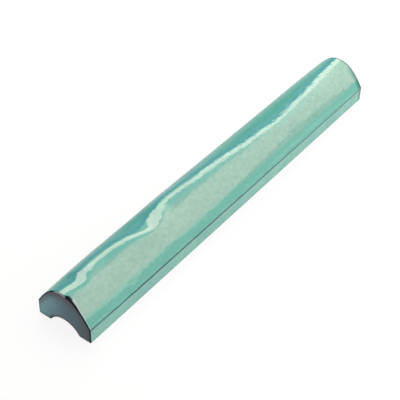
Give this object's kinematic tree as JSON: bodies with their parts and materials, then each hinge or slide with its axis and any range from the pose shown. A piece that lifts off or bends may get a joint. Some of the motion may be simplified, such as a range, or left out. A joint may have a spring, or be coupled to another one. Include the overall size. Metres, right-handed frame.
{
  "type": "pencil liner tile",
  "caption": "Slim crowned glazed ceramic trim tile on two flat feet with an arched hollow back; caps or divides areas of wall tile.",
  "frame": {"origin": "middle of the bedding plane under the tile", "axes": "+X along the tile's length, +Z out of the bed through the top of the crown"},
  "size_m": [0.15, 0.02, 0.0138],
  "materials": {
    "glaze": "glossy pooled turquoise glaze over a dark grey body"
  },
  "bodies": {
    "root": {"pencil_liner": "glaze"}
  },
  "joints": []
}
